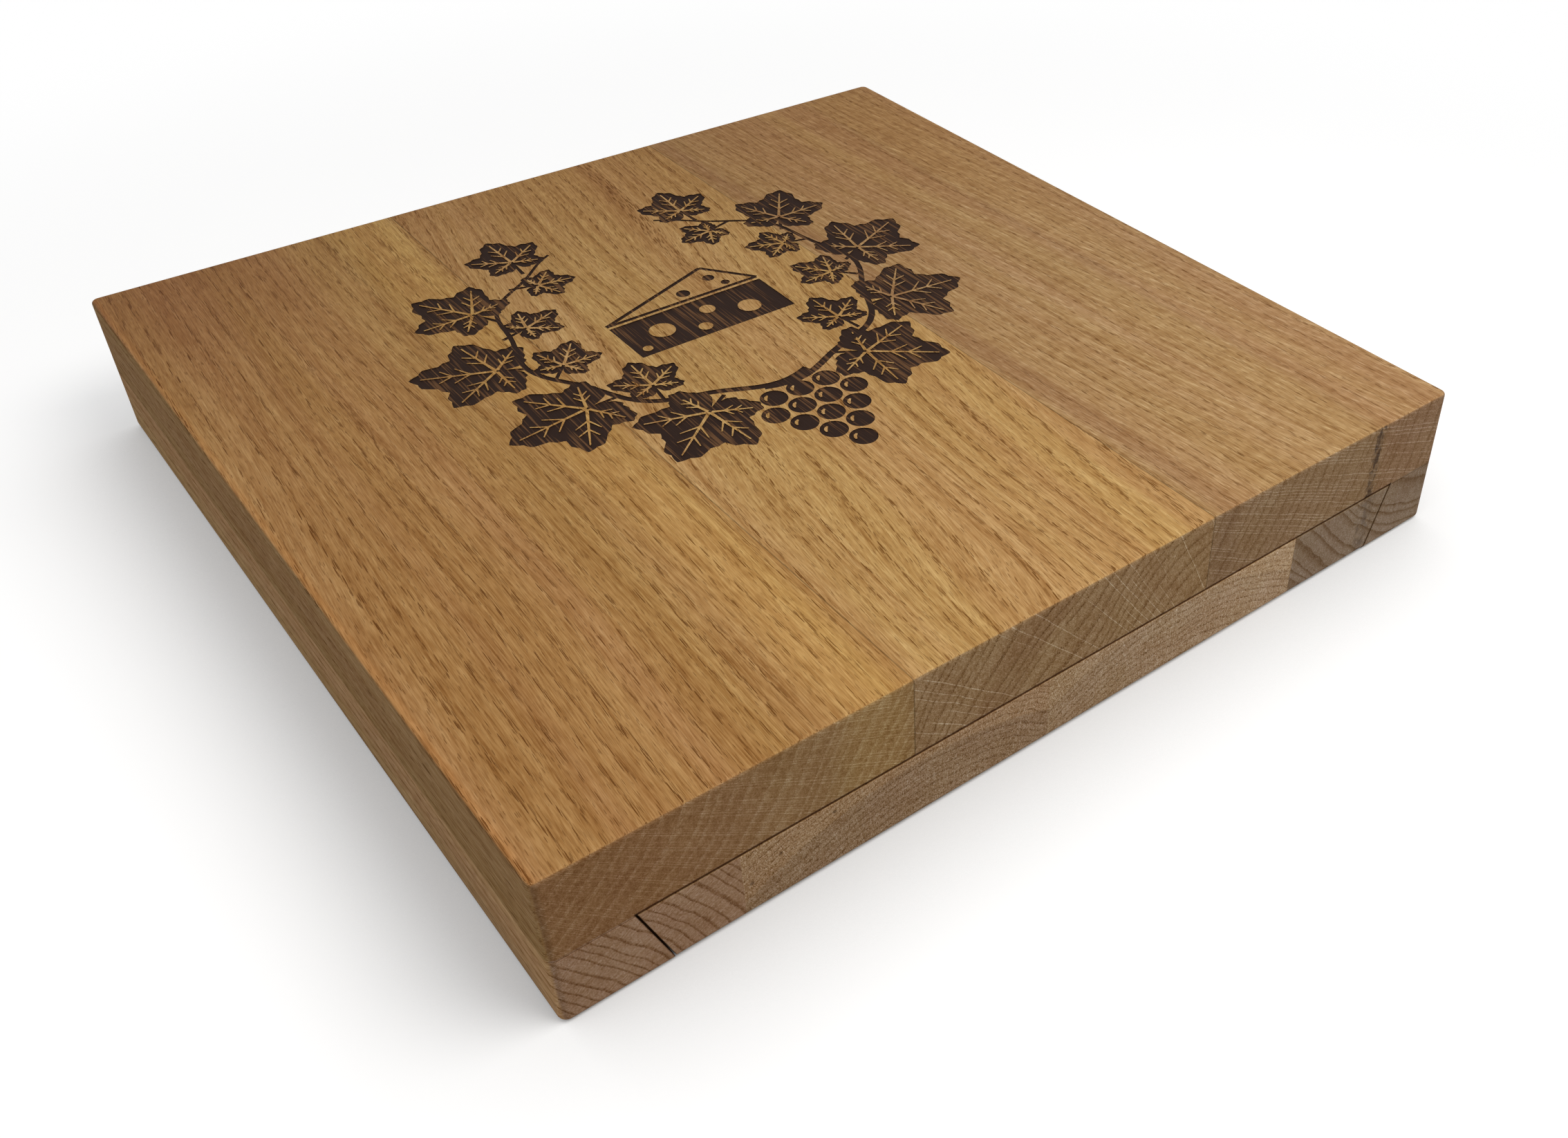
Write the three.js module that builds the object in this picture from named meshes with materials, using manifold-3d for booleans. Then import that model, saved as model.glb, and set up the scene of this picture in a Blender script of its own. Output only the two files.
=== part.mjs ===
// Cheese board: a glued-up oak panel over a dovetailed tray that slides out to the front.
// Millimetres, +Z up, origin in the middle of the underside. The tray slides out towards -Y.
import * as THREE from "three";
import { mergeVertices } from "three/addons/utils/BufferGeometryUtils.js";
import Module from "manifold-3d";

// Board, outside
const boardWidth = 300; // X, across the grain
const boardLength = 300; // Y, along the grain
const topThickness = 25; // the lower layer's thickness follows from what the tray holds
const cornerRadius = 2.4; // upright corners, seen from above
const topEdgeRadius = 1;
const bottomEdgeRadius = 2;

// Glue joints between the staves, measured from the middle, as shares of the width
const topJointShares = [-0.177, 0.161];
const lowerJointShares = [-0.343, -0.031, 0.287];

// Sliding dovetail
const railTopWidth = 20.5; // a rail, where it is glued under the top panel
const flankAngle = THREE.MathUtils.degToRad(20); // from upright, undercut
const flankClearance = 0.5;
const trayHeadroom = 0.4;
const trayGroundClearance = 0.3;
const trayArris = 0.2; // the eased edges of the tray's two ends

// Cheese tools: a blade whose tang passes through a ferrule into the handle
const handleLength = 92;
const handleWidth = 19;
const handleThickness = 13.5;
const ferruleLength = 10;
const bladeThickness = 1.8;
const neckWidth = 9;
const tangWidth = 6;
const tangLength = 52;
const flatKnifeWidth = 38;
const flatKnifeLength = 74;
const forkWidth = 20;
const forkLength = 80;
const prongWidth = 4.6;
const hardKnifeWidth = 40;
const hardKnifeLength = 66;
const softKnifeWidth = 19;
const softKnifeLength = 98;
const bladeTipRadius = 2.5;

// Radius of a handle from butt to ferrule: share of the half width, share of the length
const handleProfileShares = [
  [0, 0],
  [0.46, 0.004],
  [0.74, 0.03],
  [0.91, 0.09],
  [0.99, 0.19],
  [1, 0.29],
  [0.96, 0.46],
  [0.87, 0.66],
  [0.79, 0.84],
  [0.76, 1],
  [0, 1],
];
const ferruleProfileShares = [
  [0, 0],
  [0.78, 0],
  [0.8, 0.12],
  [0.78, 0.24],
  [0.76, 0.5],
  [0.68, 0.85],
  [0.62, 1],
  [0, 1],
];

// Bays milled in the tray for the tools
const bayFloor = 5.7; // wood left under a handle
const bayCover = 1.8; // how far a handle's back lies below the tray's top
const bayMargin = 1.5; // room round a tool, seen from above
const bayCornerRadius = 4;
const traySideMargin = 29; // from the tray's bottom edge to the first bay's share of the width
const troughRadius = 24; // the finger trough across the handles
const troughDepth = 13.4;
const fingerReach = 20; // beside the outer handles

// Magnets that keep the tray shut, let in flush with the faces that meet
const magnetDiameter = 10;
const magnetThickness = 3;
const magnetSideInset = 18; // from the tray's upper edge to the magnet's axis
const magnetEndInset = 20; // from the back of the board to the magnet's axis

// Clearances and cutting
const fitGap = 0.3; // round a tang or a magnet in its bore
const restGap = 0.3; // under a tool that lies in its bay
const overrun = 5; // how far a cut runs past the face that it opens

// Fineness of curves
const cornerSegments = 6;
const curveSegments = 8;
const roundSegments = 28;
const troughSegments = 36;

// Heights, from the table up
const bayFloorZ = trayGroundClearance + bayFloor;
const toolAxisZ = bayFloorZ + restGap + handleThickness / 2;
const trayTopZ = bayFloorZ + restGap + handleThickness + bayCover;
const lowerThickness = trayTopZ + trayHeadroom;
const boardThickness = lowerThickness + topThickness;
const bladeFloorZ = toolAxisZ - bladeThickness / 2 - restGap;

// Widths and lengths that follow
const halfWidth = boardWidth / 2;
const halfLength = boardLength / 2;
const slotTopHalf = halfWidth - railTopWidth;
const slotHalfAt = (z) => slotTopHalf - (lowerThickness - z) * Math.tan(flankAngle);
const trayHalfAt = (z) => slotHalfAt(z) - flankClearance;
const longestBlade = Math.max(flatKnifeLength, forkLength, hardKnifeLength, softKnifeLength);
const buttY = -(handleLength + ferruleLength + longestBlade) / 2;
const ferruleY = buttY + handleLength;
const bladeY = ferruleY + ferruleLength;

// Colours under plain light
const looks = {
  topLeftOak: { color: 0xb27c42, roughness: 0.55, metalness: 0 },
  topMiddleOak: { color: 0xb58a50, roughness: 0.55, metalness: 0 },
  topRightOak: { color: 0xad834e, roughness: 0.55, metalness: 0 },
  lowerOak: { color: 0x93714b, roughness: 0.6, metalness: 0 },
  lowerRightOak: { color: 0x8b7558, roughness: 0.6, metalness: 0 },
  handleWood: { color: 0x6f4526, roughness: 0.45, metalness: 0 },
  steel: { color: 0xc9cccf, roughness: 0.28, metalness: 1 },
  nickel: { color: 0xb9b6ae, roughness: 0.22, metalness: 1 },
};

const wasm = await Module();
wasm.setup();

// A closed geometry as a solid, with its coincident vertices joined.
function solid(geometry) {
  const bare = new THREE.BufferGeometry();
  bare.setAttribute("position", geometry.getAttribute("position"));
  bare.setIndex(geometry.getIndex());
  const merged = mergeVertices(bare);
  const kept = [];
  const index = merged.getIndex().array;
  for (let i = 0; i < index.length; i += 3) {
    const [a, b, c] = index.slice(i, i + 3);
    if (a !== b && b !== c && c !== a) kept.push(a, b, c);
  }
  const vertProperties = merged.getAttribute("position").array;
  const triVerts = new Uint32Array(kept);
  return new wasm.Manifold(new wasm.Mesh({ numProp: 3, vertProperties, triVerts }));
}

// A solid as a named mesh with flat faces.
function piece(name, body, look) {
  const { vertProperties, triVerts } = body.getMesh();
  const geometry = new THREE.BufferGeometry();
  geometry.setAttribute("position", new THREE.BufferAttribute(vertProperties, 3));
  geometry.setIndex(new THREE.BufferAttribute(triVerts, 1));
  const flat = geometry.toNonIndexed();
  flat.computeVertexNormals();
  const mesh = new THREE.Mesh(flat, new THREE.MeshStandardMaterial(look));
  mesh.name = name;
  return mesh;
}

function box(xs, ys, zs) {
  const geometry = new THREE.BoxGeometry(xs[1] - xs[0], ys[1] - ys[0], zs[1] - zs[0]);
  geometry.translate((xs[0] + xs[1]) / 2, (ys[0] + ys[1]) / 2, (zs[0] + zs[1]) / 2);
  return solid(geometry);
}

function roundedRectangle(xs, ys, radius) {
  const [x0, x1] = xs;
  const [y0, y1] = ys;
  const shape = new THREE.Shape();
  shape.absarc(x1 - radius, y1 - radius, radius, 0, Math.PI / 2);
  shape.absarc(x0 + radius, y1 - radius, radius, Math.PI / 2, Math.PI);
  shape.absarc(x0 + radius, y0 + radius, radius, Math.PI, 1.5 * Math.PI);
  shape.absarc(x1 - radius, y0 + radius, radius, 1.5 * Math.PI, 2 * Math.PI);
  return shape;
}

// A shape drawn in plan, as a prism between two heights.
function prism(shape, bottom, top) {
  const options = { depth: top - bottom, bevelEnabled: false, curveSegments };
  const geometry = new THREE.ExtrudeGeometry(shape, options);
  geometry.translate(0, 0, bottom);
  return solid(geometry);
}

// A block of the board's plan with every edge rounded over.
function roundedBlock(bottom, top, radius) {
  const plan = roundedRectangle([-halfWidth, halfWidth], [-halfLength, halfLength], cornerRadius);
  const geometry = new THREE.ExtrudeGeometry(plan, {
    depth: top - bottom - 2 * radius,
    bevelThickness: radius,
    bevelSize: radius,
    bevelOffset: -radius,
    bevelSegments: cornerSegments,
    curveSegments: cornerSegments,
  });
  geometry.translate(0, 0, bottom + radius);
  return solid(geometry);
}

// A dovetail bar along Y, given half its width at a height; its ends may be eased.
function dovetail(halfAt, bottom, top, length, arris) {
  const section = new THREE.Shape([
    new THREE.Vector2(-halfAt(bottom), bottom),
    new THREE.Vector2(halfAt(bottom), bottom),
    new THREE.Vector2(halfAt(top), top),
    new THREE.Vector2(-halfAt(top), top),
  ]);
  const geometry = new THREE.ExtrudeGeometry(section, {
    depth: length - 2 * arris,
    bevelEnabled: arris > 0,
    bevelThickness: arris,
    bevelSize: arris,
    bevelOffset: -arris,
    bevelSegments: 1,
  });
  geometry.translate(0, 0, arris - length / 2);
  geometry.rotateX(Math.PI / 2);
  return solid(geometry);
}

function disc(x, y, diameter, bottom, top) {
  const radius = diameter / 2;
  const geometry = new THREE.CylinderGeometry(radius, radius, top - bottom, roundSegments);
  geometry.rotateX(Math.PI / 2);
  geometry.translate(x, y, (bottom + top) / 2);
  return solid(geometry);
}

// A turned piece along Y, flattened to an oval.
function oval(profileShares, length) {
  const points = profileShares.map(([r, y]) => new THREE.Vector2(r, y * length));
  const geometry = new THREE.LatheGeometry(points, roundSegments);
  geometry.scale(handleWidth / 2, 1, handleThickness / 2);
  return solid(geometry);
}

// The part of a panel between two heights, and then its staves between the glue joints.
function layer(block, bottom, top) {
  const reach = [-halfWidth - overrun, halfWidth + overrun];
  const depth = [-halfLength - overrun, halfLength + overrun];
  return block.intersect(box(reach, depth, [bottom, top]));
}

function staves(panel, jointShares) {
  const edges = [-halfWidth - overrun, ...jointShares.map((s) => s * boardWidth), halfWidth + overrun];
  const depth = [-halfLength - overrun, halfLength + overrun];
  const height = [-overrun, boardThickness + overrun];
  return edges.slice(1).map((x, i) => panel.intersect(box([edges[i], x], depth, height)));
}

// Outlines of the blades in plan: y = 0 is the ferrule's nose, and the tang runs to -y.
function startOfHalf() {
  const half = new THREE.Path();
  half.moveTo(tangWidth / 2, -tangLength);
  half.lineTo(tangWidth / 2, 0);
  half.lineTo(neckWidth / 2, 0);
  return half;
}

function mirrored(half) {
  const points = half.getPoints(curveSegments);
  const others = points.filter((p) => p.x > 0).reverse();
  return new THREE.Shape([...points, ...others.map((p) => new THREE.Vector2(-p.x, p.y))]);
}

function flatKnifeOutline() {
  const [n, w, l, r] = [neckWidth / 2, flatKnifeWidth / 2, flatKnifeLength, bladeTipRadius];
  const half = startOfHalf();
  half.lineTo(n, 0.1 * l);
  half.bezierCurveTo(n, 0.3 * l, 0.94 * w, 0.2 * l, 0.94 * w, 0.5 * l);
  half.lineTo(w, l - r);
  half.quadraticCurveTo(w, l, w - r, l);
  return mirrored(half);
}

function forkOutline() {
  const [n, w, l] = [neckWidth / 2, forkWidth / 2, forkLength];
  const inner = w - prongWidth;
  const half = startOfHalf();
  half.lineTo(n, 0.12 * l);
  half.bezierCurveTo(n, 0.26 * l, w, 0.24 * l, w, 0.42 * l);
  half.lineTo(w, 0.84 * l);
  half.quadraticCurveTo(w, 0.96 * l, w - prongWidth / 2, l);
  half.quadraticCurveTo(inner, 0.96 * l, inner, 0.84 * l);
  half.lineTo(inner, 0.5 * l);
  half.quadraticCurveTo(inner, 0.43 * l, 0, 0.43 * l);
  return mirrored(half);
}

function hardKnifeOutline() {
  const [n, w, l] = [neckWidth / 2, hardKnifeWidth / 2, hardKnifeLength];
  const half = startOfHalf();
  half.bezierCurveTo(n, 0.16 * l, w, 0.1 * l, w, 0.36 * l);
  half.bezierCurveTo(w, 0.62 * l, 0.4 * w, 0.84 * l, 0, l);
  return mirrored(half);
}

function softKnifeOutline() {
  const [n, w, l] = [neckWidth / 2, softKnifeWidth / 2, softKnifeLength];
  const outline = new THREE.Shape();
  outline.moveTo(-tangWidth / 2, -tangLength);
  outline.lineTo(tangWidth / 2, -tangLength);
  outline.lineTo(tangWidth / 2, 0);
  outline.lineTo(n, 0);
  outline.bezierCurveTo(n, 0.1 * l, w, 0.06 * l, w, 0.2 * l);
  outline.lineTo(w, 0.6 * l);
  outline.bezierCurveTo(w, 0.8 * l, 0.7 * w, 0.92 * l, 0.1 * w, l);
  outline.quadraticCurveTo(0.05 * w, 0.92 * l, -0.35 * w, 0.9 * l);
  outline.quadraticCurveTo(-0.6 * w, 0.92 * l, -0.75 * w, 0.97 * l);
  outline.quadraticCurveTo(-w, 0.9 * l, -w, 0.8 * l);
  outline.lineTo(-w, 0.14 * l);
  outline.bezierCurveTo(-w, 0.06 * l, -n, 0.08 * l, -n, 0);
  outline.lineTo(-tangWidth / 2, 0);
  for (const share of [0.28, 0.45, 0.62]) {
    const hole = new THREE.Path();
    hole.absellipse(0, share * l, 0.3 * w, 0.055 * l, 0, 2 * Math.PI);
    outline.holes.push(hole);
  }
  return outline;
}

const tools = [
  { name: "flat_knife", outline: flatKnifeOutline(), width: flatKnifeWidth, length: flatKnifeLength },
  { name: "cheese_fork", outline: forkOutline(), width: forkWidth, length: forkLength },
  { name: "hard_cheese_knife", outline: hardKnifeOutline(), width: hardKnifeWidth, length: hardKnifeLength },
  { name: "soft_cheese_knife", outline: softKnifeOutline(), width: softKnifeWidth, length: softKnifeLength },
];
const bayPitch = (2 * (trayHalfAt(trayGroundClearance) - traySideMargin)) / tools.length;
tools.forEach((tool, i) => {
  tool.x = (i - (tools.length - 1) / 2) * bayPitch;
});

// The space milled out for one tool: deep under handle and ferrule, shallow under the blade.
function bay(tool) {
  const openZ = trayTopZ + overrun;
  const handleHalf = handleWidth / 2 + bayMargin;
  const bladeHalf = Math.max(tool.width / 2, neckWidth) + bayMargin;
  const handleXs = [tool.x - handleHalf, tool.x + handleHalf];
  const bladeXs = [tool.x - bladeHalf, tool.x + bladeHalf];
  const handleYs = [buttY - bayMargin, bladeY + bayMargin];
  const bladeYs = [bladeY + bayMargin - 2 * bayCornerRadius, bladeY + tool.length + bayMargin];
  const deep = prism(roundedRectangle(handleXs, handleYs, bayCornerRadius), bayFloorZ, openZ);
  const shallow = prism(roundedRectangle(bladeXs, bladeYs, bayCornerRadius), bladeFloorZ, openZ);
  return deep.add(shallow);
}

// The scooped trough across all handles, for the fingers that lift a tool.
function fingerTrough() {
  const endAtTop = tools.at(-1).x + handleWidth / 2 + fingerReach;
  const halfChord = Math.sqrt(troughDepth * (2 * troughRadius - troughDepth));
  const straight = 2 * (endAtTop - halfChord);
  const capSegments = troughSegments / 4;
  const geometry = new THREE.CapsuleGeometry(troughRadius, straight, capSegments, troughSegments);
  geometry.rotateZ(Math.PI / 2);
  geometry.translate(0, buttY + handleLength / 2, trayTopZ - troughDepth + troughRadius);
  return solid(geometry);
}

// Magnets and the bores that hold them
const magnetY = halfLength - magnetEndInset;
const magnetXs = [-1, 1].map((side) => side * (trayHalfAt(trayTopZ) - magnetSideInset));
const boreDiameter = magnetDiameter + 2 * fitGap;
const boreDepth = magnetThickness + fitGap;
const panelBores = magnetXs.map((x) =>
  disc(x, magnetY, boreDiameter, lowerThickness - overrun, lowerThickness + boreDepth),
);
const trayBores = magnetXs.map((x) =>
  disc(x, magnetY, boreDiameter, trayTopZ - boreDepth, trayTopZ + overrun),
);

// Top panel and rails, which are glued together and carry everything
const board = new THREE.Group();
const upperBlock = roundedBlock(lowerThickness - 2 * topEdgeRadius, boardThickness, topEdgeRadius);
const lowerBlock = roundedBlock(0, lowerThickness + 2 * bottomEdgeRadius, bottomEdgeRadius);
const topPanel = panelBores.reduce(
  (panel, bore) => panel.subtract(bore),
  layer(upperBlock, lowerThickness, boardThickness),
);
const topStaves = staves(topPanel, topJointShares);
["left", "middle", "right"].forEach((side, i) => {
  const look = [looks.topLeftOak, looks.topMiddleOak, looks.topRightOak][i];
  board.add(piece("top_stave_" + side, topStaves[i], look));
});
const slotLength = boardLength + 2 * overrun;
const slot = dovetail(slotHalfAt, -overrun, lowerThickness + overrun, slotLength, 0);
const rails = staves(layer(lowerBlock, 0, lowerThickness).subtract(slot), [0]);
board.add(piece("rail_left", rails[0], looks.lowerOak));
board.add(piece("rail_right", rails[1], looks.lowerRightOak));

// Tray: the middle of the same lower panel, with its bays
const tray = new THREE.Group();
const trayBlock = roundedBlock(
  trayGroundClearance,
  lowerThickness + 2 * bottomEdgeRadius,
  bottomEdgeRadius,
);
const trayBar = dovetail(trayHalfAt, -overrun, trayTopZ, boardLength, trayArris);
const cutouts = [...tools.map(bay), fingerTrough(), ...trayBores];
const trayPanel = cutouts.reduce((panel, cut) => panel.subtract(cut), trayBlock.intersect(trayBar));
const trayStaves = staves(trayPanel, lowerJointShares);
["left_edge", "left", "right", "right_edge"].forEach((side, i) => {
  const look = side === "right_edge" ? looks.lowerRightOak : looks.lowerOak;
  tray.add(piece("tray_stave_" + side, trayStaves[i], look));
});

["left", "right"].forEach((side, i) => {
  const inPanel = [lowerThickness, lowerThickness + magnetThickness];
  const inTray = [trayTopZ - magnetThickness, trayTopZ];
  const x = magnetXs[i];
  board.add(piece("panel_magnet_" + side, disc(x, magnetY, magnetDiameter, ...inPanel), looks.nickel));
  tray.add(piece("tray_magnet_" + side, disc(x, magnetY, magnetDiameter, ...inTray), looks.nickel));
});

// Tools, each in a group of its own whose origin is on the tool's axis at the handle's butt
const tangRoom = box(
  [-tangWidth / 2 - fitGap, tangWidth / 2 + fitGap],
  [handleLength + ferruleLength - tangLength - fitGap, handleLength + ferruleLength + overrun],
  [-bladeThickness / 2 - fitGap, bladeThickness / 2 + fitGap],
);
const handle = oval(handleProfileShares, handleLength).subtract(tangRoom);
const ferrule = oval(ferruleProfileShares, ferruleLength)
  .translate([0, handleLength, 0])
  .subtract(tangRoom);
for (const tool of tools) {
  const blade = prism(tool.outline, -bladeThickness / 2, bladeThickness / 2);
  const group = new THREE.Group();
  group.position.set(tool.x, buttY, toolAxisZ);
  group.add(piece(tool.name + "_handle", handle, looks.handleWood));
  group.add(piece(tool.name + "_ferrule", ferrule, looks.steel));
  const bladeMesh = piece(tool.name + "_blade", blade, looks.steel);
  bladeMesh.position.y = handleLength + ferruleLength;
  group.add(bladeMesh);
  tray.add(group);
}

const cheeseBoard = new THREE.Group();
cheeseBoard.add(board, tray);

export default cheeseBoard;
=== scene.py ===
# Looks of the oak cheese board: solid-wood grain, a burnt vine wreath, and steel tools in the tray.
import math

import bmesh
import bpy
from mathutils import Euler, Matrix, Vector


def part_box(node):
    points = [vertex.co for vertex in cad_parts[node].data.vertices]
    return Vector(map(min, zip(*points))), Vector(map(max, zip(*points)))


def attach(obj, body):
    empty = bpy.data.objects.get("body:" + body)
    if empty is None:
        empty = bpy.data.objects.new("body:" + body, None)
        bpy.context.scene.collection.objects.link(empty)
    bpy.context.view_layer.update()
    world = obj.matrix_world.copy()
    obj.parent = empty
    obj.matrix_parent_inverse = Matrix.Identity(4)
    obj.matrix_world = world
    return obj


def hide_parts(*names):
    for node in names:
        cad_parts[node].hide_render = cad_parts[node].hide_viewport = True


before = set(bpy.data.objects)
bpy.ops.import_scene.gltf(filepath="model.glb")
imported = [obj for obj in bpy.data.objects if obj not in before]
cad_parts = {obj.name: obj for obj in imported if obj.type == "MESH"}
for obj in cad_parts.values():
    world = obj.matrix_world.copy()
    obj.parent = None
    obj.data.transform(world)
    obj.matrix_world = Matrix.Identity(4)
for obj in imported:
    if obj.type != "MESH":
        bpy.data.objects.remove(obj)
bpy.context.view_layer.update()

# Lengths are in millimetres until they are made into a mesh. The camera's and the lamps' are in metres.
MM = 0.001


def lowest(node):
    """The corner of a node's box with the lowest X, Y and Z."""
    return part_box(node)[0] / MM


def highest(node):
    """The opposite corner of a node's box."""
    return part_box(node)[1] / MM


# Places of the board, taken from the frame
top_z = highest("top_stave_middle").z
panel_z = lowest("top_stave_middle").z
left_joint_x = lowest("top_stave_middle").x
right_joint_x = highest("top_stave_middle").x
front_y = lowest("top_stave_middle").y
tray_z = highest("tray_stave_left").z


class Field:
    """A number or a colour that varies over a surface, as the output of a node."""

    def __init__(self, tree, socket):
        self.tree = tree
        self.socket = socket

    def math(self, operation, *others):
        node = self.tree.nodes.new("ShaderNodeMath")
        node.operation = operation
        for entry, value in zip(node.inputs, (self, *others)):
            feed(self.tree, entry, value)
        return Field(self.tree, node.outputs[0])

    def __add__(self, other):
        return self.math("ADD", other)

    def __sub__(self, other):
        return self.math("SUBTRACT", other)

    def __mul__(self, other):
        return self.math("MULTIPLY", other)

    def __truediv__(self, other):
        return self.math("DIVIDE", other)

    def abs(self):
        return self.math("ABSOLUTE")

    def inverted(self):
        """One less this."""
        return self * -1 + 1

    def between(self, at_none, at_full):
        """One number where this is 0, another where it is 1, and in step between them."""
        return self * (at_full - at_none) + at_none

    def ramp(self, low, high):
        """0 below low and 1 above high, with a smooth step between them."""
        node = self.tree.nodes.new("ShaderNodeMapRange")
        node.interpolation_type = "SMOOTHSTEP"
        feed(self.tree, node.inputs["Value"], self)
        node.inputs["From Min"].default_value = low
        node.inputs["From Max"].default_value = high
        return Field(self.tree, node.outputs["Result"])


def feed(tree, entry, value):
    """Links a field to a socket, or sets the socket to a plain value."""
    if isinstance(value, Field):
        tree.links.new(value.socket, entry)
    else:
        entry.default_value = value


def srgb(red, green, blue):
    """A colour written as 0 to 255 on a screen, as Blender's linear colour."""

    def linear(level):
        share = level / 255
        return share / 12.92 if share <= 0.04045 else ((share + 0.055) / 1.055) ** 2.4

    return (linear(red), linear(green), linear(blue), 1)


# How fast wood's red, green and blue change as it gets lighter or darker
tone_powers = (0.74, 1.04, 1.45)


class Paint:
    """The nodes of one material."""

    def __init__(self, name):
        self.material = bpy.data.materials.new(name)
        self.material.use_nodes = True
        self.tree = self.material.node_tree
        self.shader = self.tree.nodes["Principled BSDF"]

    def place(self):
        """X, Y and Z on the piece itself, in millimetres."""
        coordinates = self.tree.nodes.new("ShaderNodeTexCoord")
        split = self.tree.nodes.new("ShaderNodeSeparateXYZ")
        self.tree.links.new(coordinates.outputs["Object"], split.inputs[0])
        return [Field(self.tree, output) * (1 / MM) for output in split.outputs]

    def facing(self):
        """How squarely the surface faces along X, Y and Z, from 0 to 1."""
        coordinates = self.tree.nodes.new("ShaderNodeTexCoord")
        split = self.tree.nodes.new("ShaderNodeSeparateXYZ")
        self.tree.links.new(coordinates.outputs["Normal"], split.inputs[0])
        return [Field(self.tree, output).abs() for output in split.outputs]

    def point(self, x, y, z):
        node = self.tree.nodes.new("ShaderNodeCombineXYZ")
        for entry, value in zip(node.inputs, (x, y, z)):
            feed(self.tree, entry, value)
        return Field(self.tree, node.outputs[0])

    def noise(self, x, y, z, detail=1.0):
        """A cloudy value about 0.5, one unit of the coordinates from hill to hill."""
        node = self.tree.nodes.new("ShaderNodeTexNoise")
        feed(self.tree, node.inputs["Vector"], self.point(x, y, z))
        node.inputs["Scale"].default_value = 1
        node.inputs["Detail"].default_value = detail
        return Field(self.tree, node.outputs["Fac"])

    def cells(self, x, y, z):
        """How far the nearest of many scattered points lies, and a number of its own from 0 to 1."""
        node = self.tree.nodes.new("ShaderNodeTexVoronoi")
        feed(self.tree, node.inputs["Vector"], self.point(x, y, z))
        node.inputs["Scale"].default_value = 1
        split = self.tree.nodes.new("ShaderNodeSeparateColor")
        self.tree.links.new(node.outputs["Color"], split.inputs[0])
        return Field(self.tree, node.outputs["Distance"]), Field(self.tree, split.outputs[0])

    def chance(self, number):
        """A value from 0 to 1 that is another one for each whole number."""
        node = self.tree.nodes.new("ShaderNodeTexWhiteNoise")
        node.noise_dimensions = "1D"
        feed(self.tree, node.inputs["W"], number)
        return Field(self.tree, node.outputs["Value"])

    def mix(self, share, first, second, way="MIX"):
        """From the first colour to the second."""
        node = self.tree.nodes.new("ShaderNodeMix")
        node.data_type = "RGBA"
        node.blend_type = way
        # Inputs 6 and 7 and output 2 are the node's sockets for colours.
        for index, value in ((0, share), (6, first), (7, second)):
            feed(self.tree, node.inputs[index], value)
        return Field(self.tree, node.outputs[2])

    def multiply(self, colour, factor):
        """A colour times another."""
        return self.mix(1, colour, factor, "MULTIPLY")

    def dim(self, colour, factor):
        """A colour made lighter or darker by a factor."""
        node = self.tree.nodes.new("ShaderNodeVectorMath")
        node.operation = "SCALE"
        feed(self.tree, node.inputs[0], colour)
        feed(self.tree, node.inputs["Scale"], factor)
        return Field(self.tree, node.outputs[0])

    def tint(self, share, colour, factor):
        """A colour times another, as far as the share says."""
        return self.mix(share, colour, self.multiply(colour, factor))

    def tone(self, level):
        """The factor that makes wood lighter or darker, redder as it darkens."""
        return self.point(*(level.math("POWER", power) for power in tone_powers))

    def finish(self, colour, roughness, height=None, depth=0.0, specular=0.5, metallic=0.0):
        """Sets the shader; height is a relief from 0 to 1, and depth says how deep in millimetres."""
        feed(self.tree, self.shader.inputs["Base Color"], colour)
        feed(self.tree, self.shader.inputs["Roughness"], roughness)
        self.shader.inputs["Specular IOR Level"].default_value = specular
        self.shader.inputs["Metallic"].default_value = metallic
        if height is not None:
            bump = self.tree.nodes.new("ShaderNodeBump")
            feed(self.tree, bump.inputs["Height"], height)
            bump.inputs["Distance"].default_value = depth * MM
            self.tree.links.new(bump.outputs[0], self.shader.inputs["Normal"])
        return self.material


# Woods. A stave is cut from a log whose pith runs along Y: its place in X and Z decides how the
# rings cross the end grain and the faces, so all faces of a stave show one and the same log.


def sheets(paint, lay, pitch, half, radius, y, lengths, seed):
    """Thin upright sheets about a pitch apart: 1 in a sheet and 0 beside it.

    lengths are how far a sheet runs outwards and along Y before it breaks off.
    """
    place = lay / pitch + paint.noise(lay / (3 * pitch), seed, 0) * 1.6
    number = place.math("FLOOR")
    near = ((place.math("FRACT") - 0.5).abs() * pitch).ramp(half * 0.5, half * 1.5).inverted()
    broken = paint.noise(radius / lengths[0], y / lengths[1], number * 7.31 + seed, detail=0.0)
    return near * broken.ramp(0.47, 0.57)


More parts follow.
